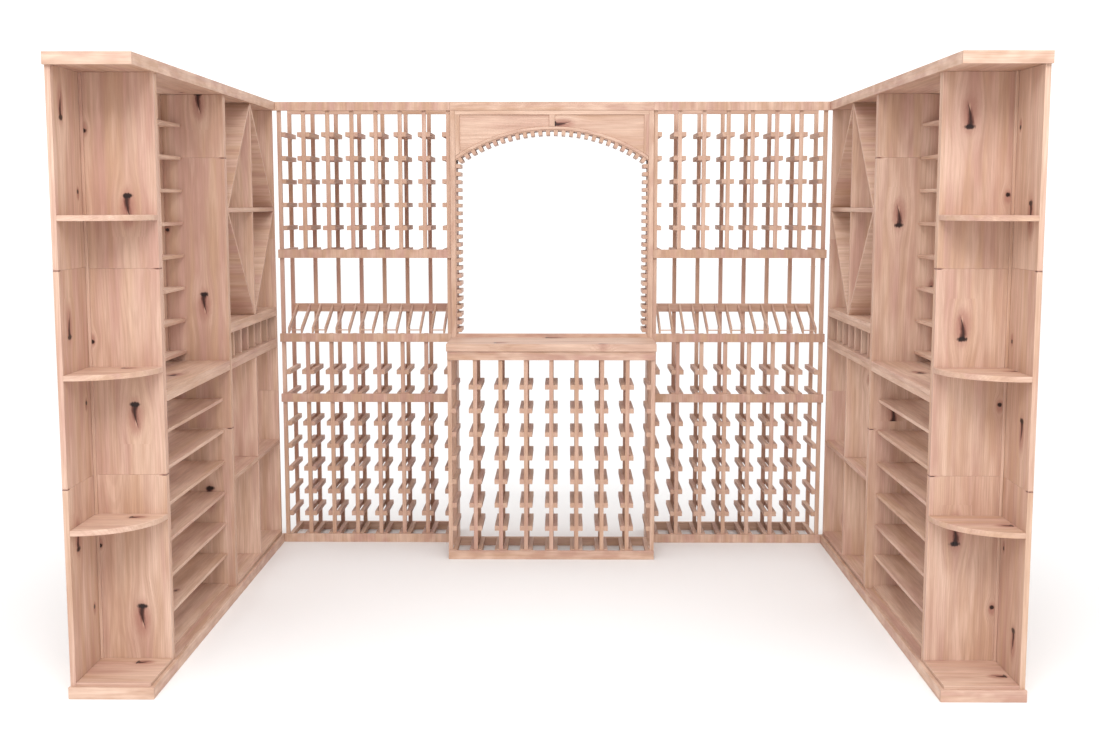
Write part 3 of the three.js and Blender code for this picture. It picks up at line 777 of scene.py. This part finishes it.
def wing_boards(side):
    """Top board, crown and base: butted where one unit ends and the next begins."""
    piece = wing_piece(side, "top_board", "panel_pine")
    y = piece.span(Y)
    ends = [y[0], DISPLAY_END, MAGNUM_END, y[1]]
    for y0, y1 in zip(ends, ends[1:]):
        knots = piece.random_knots((y0, y1), piece.span(X), chance=0.6)
        piece.board(piece.span(X), (y0, y1), piece.span(Z), Y, knots=knots)
    piece.build()
    for part in ("wing_crown", "wing_base"):
        piece = wing_piece(side, part, "trim_pine", tone=0.6)
        x, y, z = piece.span(X), piece.span(Y), piece.span(Z)
        piece.board(x, (y[0], y[0] + FASCIA_T), z, X)
        ends = [y[0] + FASCIA_T, DISPLAY_END, MAGNUM_END, y[1]]
        for y0, y1 in zip(ends, ends[1:]):
            piece.board((x[1] - FASCIA_T + GAP, x[1]), (y0, y1), z, Y)
        piece.build()


# ---------------------------------------------------------------- ladders
def ladder(piece, x, y, rungs, sides, front, rear):
    """Front and rear uprights at x, and at each level a rung on one or both sides of them."""
    half = BOARD / 2
    for z0, z1 in front:
        piece.board((x - half, x + half), (y[0], y[0] + BOARD), (z0, z1), Z, ease=STICK_EASE)
    piece.board((x - half, x + half), (y[1] - BOARD, y[1]), rear, Z, ease=STICK_EASE)
    for level in rungs:
        low, high = level - RUNG_H / 2, level + RUNG_H / 2
        back = y[1] - BOARD if low < rear[0] else y[1]
        for side in sides:
            edges = sorted((x + side * half, x + side * (half + RUNG_W)))
            piece.board(edges, (y[0], back), (low, high), Y, tone=-0.12, ease=STICK_EASE)


def rung_sides(index, count):
    """The end ladders have rungs on the inner side only."""
    return [s for s in (-1, 1) if 0 <= index + s < count]


def back_rack(side):
    """Eight ladders on rear rails, and the bands and base board across their front."""
    # The left rack's wood is made darker and the right rack's lighter.
    tone = 0.30 if side == "left" else 0.70
    mirror = side == "right"
    band_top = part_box(f"{side}_display_band")[1].z
    upper_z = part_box(f"{side}_upper_band")[0].z
    crown_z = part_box("back_crown")[0].z
    for pair in range(RACK_LADDERS // 2):
        node = f"{side}_ladder_pair_{pair + 1}"
        piece = Joinery(node + "_wood", "ladder_pine", node=node, mirror=mirror, tone=tone)
        y = piece.span(Y)
        top = crown_z + LADDER_TOP
        for i in (2 * pair, 2 * pair + 1):
            is_end = i in (0, RACK_LADDERS - 1)
            front = [(0, top)] if is_end else [(0, band_top), (upper_z, top)]
            rungs = LOWER_RUNGS + UPPER_RUNGS
            x = RACK_FIRST_X + i * RACK_PITCH
            ladder(piece, x, y, rungs, rung_sides(i, RACK_LADDERS), front, (FASCIA, crown_z))
        piece.build()
    half = BOARD / 2
    rails = Joinery(f"{side}_rear_rails_wood", "ladder_pine", mirror=mirror, tone=tone)
    x = (RACK_FIRST_X - half, RACK_FIRST_X + (RACK_LADDERS - 1) * RACK_PITCH + half)
    for z0 in (0.0, crown_z):
        rails.board(x, (CAD_HIGH.y - BOARD, CAD_HIGH.y), (z0, z0 + FASCIA), X)
    rails.build()
    for part in ("upper_band", "display_band", "lower_band", "rack_base"):
        piece = wing_piece(side, part, "trim_pine", tone=0.50 if part == "rack_base" else 0.20)
        piece.board(piece.span(X), piece.span(Y), piece.span(Z), Z)
        piece.build()


def display_cradles(side):
    """Two sloping rails and a front lip for each bottle on show, hung on one rear rail."""
    piece = wing_piece(side, "display_cradles", "ladder_pine", tone=0.5)
    x, y, z = piece.span(X), piece.span(Y), piece.span(Z)
    rear = (y[1] - FASCIA_T, y[1])
    piece.board(x, rear, (z[1] - FASCIA, z[1]), X, ease=STICK_EASE)
    seat = z[0]
    drop = z[1] - CRADLE_RAIL_H
    slope = [(y[0], seat), (rear[0], drop), (rear[0], z[1]), (y[0], seat + CRADLE_RAIL_H)]
    for i in range(RACK_LADDERS - 1):
        middle = RACK_FIRST_X + (i + 0.5) * RACK_PITCH
        for hand in (-1, 1):
            outer = middle + hand * CRADLE_W / 2
            edges = sorted((outer, outer - hand * CRADLE_RAIL_W))
            piece.plate(slope, edges, X, Y, ease=STICK_EASE)
        inner = CRADLE_W / 2 - CRADLE_RAIL_W
        lip = (seat + LIP_SEAT, seat + LIP_SEAT + LIP_H)
        piece.board((middle - inner, middle + inner), (y[0], y[0] + LIP_T), lip, X, ease=STICK_EASE)
    piece.build()


# ---------------------------------------------------------------- table
# Knots of the table top: x, y from the front of the wings, half length.
TABLE_KNOTS = ((-0.225, 1.798, 0.030), (0.218, 1.757, 0.020), (0.005, 2.030, 0.044))
TABLE_KNOT_WIDTH = 0.6  # half width over half length
TABLE_BOARDS = 3


def table():
    """Nine ladders on rear rails, the rail and base board across their front, and the top."""
    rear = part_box("table_end_ladder")[1].y
    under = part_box("table_end_ladder")[1].z
    first = -(TABLE_LADDERS - 1) / 2 * TABLE_PITCH
    for pair in range((TABLE_LADDERS + 1) // 2):
        last = pair == TABLE_LADDERS // 2
        node = "table_end_ladder" if last else f"table_ladder_pair_{pair + 1}"
        piece = Joinery(node + "_wood", "ladder_pine", node=node, tone=0.5)
        for i in (2 * pair,) if last else (2 * pair, 2 * pair + 1):
            x = first + i * TABLE_PITCH
            span = (FASCIA, under - FASCIA)
            ladder(piece, x, piece.span(Y), TABLE_RUNGS, rung_sides(i, TABLE_LADDERS), [(0, under)], span)
        piece.build()
    rails = Joinery("table_rear_rails_wood", "ladder_pine")
    half = BOARD / 2
    for z0 in (0.0, under - FASCIA):
        rails.board((first - half, -first + half), (rear - BOARD, rear), (z0, z0 + FASCIA), X)
    rails.build()
    for node in ("table_rail", "table_base"):
        piece = Joinery(node + "_wood", "trim_pine", node=node, tone=0.55)
        piece.board(piece.span(X), piece.span(Y), piece.span(Z), X)
        piece.build()
    piece = Joinery("table_top_wood", "shelf_pine", node="table_top", tone=0.62)
    x, y, z = piece.span(X), piece.span(Y), piece.span(Z)
    knots = [Knot(kx, FRONT_Y + ky, s, TABLE_KNOT_WIDTH * s, TAILED) for kx, ky, s in TABLE_KNOTS]
    depth = (y[1] - y[0]) / TABLE_BOARDS
    for i in range(TABLE_BOARDS):
        y0, y1 = y[0] + i * depth, y[0] + (i + 1) * depth
        piece.board(x, (y0, y1), z, X, knots=[k for k in knots if y0 < k.across < y1])
    piece.build()


# ---------------------------------------------------------------- arch
ARCH_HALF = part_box("arch_header")[1].x
ARCH_R = (ARCH_HALF**2 + ARCH_RISE**2) / (2 * ARCH_RISE)
ARCH_CENTRE_Z = SPRING_Z + ARCH_RISE - ARCH_R
HEADER_KNOT = Knot(0.040, 1.886, 0.045, 0.0150, TAILED)
LINING_STEPS = 40


def arch_points(x0, x1, radius, steps=28):
    """Points (z, x) on the arch line from x0 to x1."""
    xs = [x0 + (x1 - x0) * i / steps for i in range(steps + 1)]
    return [(ARCH_CENTRE_Z + math.sqrt(radius**2 - x * x), x) for x in xs]


def arch_header():
    """Back board and lid, and a front frame of rails and stiles round two recessed panels."""
    piece = Joinery("arch_header_wood", "panel_pine", node="arch_header", tone=0.62)
    y, top = piece.span(Y), piece.high[Z]
    front = (y[0], y[0] + BOARD)
    panel_y = (y[0] + PANEL_RECESS, y[0] + BOARD)
    wide = ARCH_HALF
    outer = ARCH_R + ARCH_MOULDING
    piece.plate([(top, -wide), *arch_points(-wide, wide, ARCH_R), (top, wide)], (y[1] - BOARD, y[1]), Y, X)
    piece.board((-wide, wide), (y[0] + BOARD, y[1] - BOARD), (top - BOARD, top), X)
    piece.board((-wide, wide), front, (PANEL_TOP, top), X, tone=0.12)
    moulding = arch_points(-wide, wide, outer) + arch_points(wide, -wide, ARCH_R)
    piece.plate(moulding, front, Y, X, tone=0.12, ease=MOULDING_EASE)
    for x0, x1 in ((-wide, -PANEL_HALF), (-STILE_HALF, STILE_HALF), (PANEL_HALF, wide)):
        stile = [(PANEL_TOP, x0), *arch_points(x0, x1, outer, 4), (PANEL_TOP, x1)]
        piece.plate(stile, front, Y, Z)
    for x0, x1 in ((-PANEL_HALF, -STILE_HALF), (STILE_HALF, PANEL_HALF)):
        panel = [(PANEL_TOP, x0), *arch_points(x0, x1, outer), (PANEL_TOP, x1)]
        piece.plate(panel, panel_y, Y, X, knot=HEADER_KNOT if x0 > 0 else None)
    piece.build()


def arch_slats():
    """Short slats up both jambs and along the curve, on a thin lining."""
    piece = Joinery("arch_slats_wood", "trim_pine", node="arch_slats", tone=0.5)
    y, outer, sill = piece.span(Y), piece.high[X], piece.low[Z]
    radius = ARCH_R - GAP
    inner, inner_radius = outer - LINING, radius - LINING
    lining = [(sill, -outer), *arch_points(-outer, outer, radius, LINING_STEPS), (sill, outer)]
    lining += [(sill, inner), *arch_points(inner, -inner, inner_radius, LINING_STEPS), (sill, -inner)]
    piece.plate(lining, y, Y, Y, ease=LINING_EASE)
    spring = arch_points(outer, outer, radius, 1)[0][0]
    for i in range(int((spring - LINING - sill) / SLAT_PITCH)):
        low = sill + FIRST_SLAT + i * SLAT_PITCH
        for hand in (-1, 1):
            edges = sorted((hand * inner, hand * (inner - SLAT_T)))
            piece.board(edges, y, (low, low + SLAT_H), Y, ease=STICK_EASE)
    span = math.asin(inner / inner_radius)
    count = int(2 * span * radius / SLAT_PITCH)
    pivot = np.array([0, 0, ARCH_CENTRE_Z])
    top = ARCH_CENTRE_Z + inner_radius
    for i in range(count):
        angle = span - (i + 0.5) * 2 * span / count
        c, s = math.cos(angle), math.sin(angle)
        turn = np.array([[c, 0, s], [0, 1, 0], [-s, 0, c]])
        half = SLAT_H / 2
        piece.board((-half, half), y, (top - SLAT_T, top), Y, ease=STICK_EASE, turn=(turn, pivot))
    piece.build()


def arch():
    """Header, slats, posts and sill of the arch, and the crown board across the back."""
    arch_header()
    arch_slats()
    for side in ("left", "right"):
        piece = wing_piece(side, "arch_post", "trim_pine", tone=0.62)
        piece.board(piece.span(X), piece.span(Y), piece.span(Z), Z)
        piece.build()
    piece = Joinery("arch_sill_wood", "trim_pine", node="arch_sill", tone=0.6)
    piece.board(piece.span(X), piece.span(Y), piece.span(Z), X)
    piece.build()
    piece = Joinery("back_crown_wood", "trim_pine", node="back_crown", tone=0.5)
    x, y, z = piece.span(X), piece.span(Y), piece.span(Z)
    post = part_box("right_arch_post")[1].x
    piece.board((x[0], -post), y, z, Z, tone=-0.1)
    piece.board((-post, post), y, z, X, tone=0.1)
    piece.board((post, x[1]), y, z, Z, tone=-0.1)
    piece.build()


# ---------------------------------------------------------------- studio
FLOOR_HALF = 30.0
FLOOR_SHADE = 0.88
WORLD_STRENGTH = 1.2
LAMP_AT, LAMP_TILT = (0.0, -5.4, 5.1), math.radians(52)
LAMP_SIZE, LAMP_POWER = (4.0, 2.5), 235.0
CAMERA_AT = (0.0529, -5.3463, 1.5322)
CAMERA_DOWN, CAMERA_PAN = 0.1215, 0.0098  # radians
CAMERA_LENS, CAMERA_SENSOR = 45.70, 36.0  # millimetres


def plain(name, shade):
    g = Graph(name)
    shader = g.node("BsdfPrincipled", {"Base Color": colour(shade, shade, shade), "Roughness": 0.9})
    g.node("OutputMaterial", {"Surface": shader})
    return g.material


def studio():
    """Pale floor, white surroundings, a broad soft lamp over the camera, and the camera."""
    scene = bpy.context.scene
    mesh = bpy.data.meshes.new("floor")
    corners = [(i * FLOOR_HALF, j * FLOOR_HALF, 0) for i, j in ((-1, -1), (1, -1), (1, 1), (-1, 1))]
    mesh.from_pydata(corners, [], [(0, 1, 2, 3)])
    mesh.materials.append(plain("floor_white", FLOOR_SHADE))
    floor = bpy.data.objects.new("floor", mesh)
    scene.collection.objects.link(floor)

    world = bpy.data.worlds.new("world")
    world.use_nodes = True
    background = world.node_tree.nodes["Background"]
    background.inputs["Color"].default_value = colour(1.0, 1.0, 1.0)
    background.inputs["Strength"].default_value = WORLD_STRENGTH
    scene.world = world

    lamp = bpy.data.lights.new("key", "AREA")
    lamp.shape = "RECTANGLE"
    lamp.size, lamp.size_y = LAMP_SIZE
    lamp.energy = LAMP_POWER
    key = bpy.data.objects.new("key", lamp)
    key.location = LAMP_AT
    key.rotation_euler = (LAMP_TILT, 0.0, 0.0)
    scene.collection.objects.link(key)

    camera = bpy.data.objects.new("camera", bpy.data.cameras.new("camera"))
    camera.location = CAMERA_AT
    camera.rotation_euler = (math.pi / 2 - CAMERA_DOWN, 0.0, CAMERA_PAN)
    camera.data.lens = CAMERA_LENS
    camera.data.sensor_width = CAMERA_SENSOR
    scene.collection.objects.link(camera)
    bpy.context.scene.camera = camera
    scene.view_settings.view_transform = "Standard"


for hand in ("left", "right"):
    upright_panels(hand)
    corner_shelves(hand)
    magnum_rack(hand)
    diamond_lattice(hand)
    display_row(hand)
    case_bins(hand)
    wing_boards(hand)
    back_rack(hand)
    display_cradles(hand)
table()
arch()
studio()
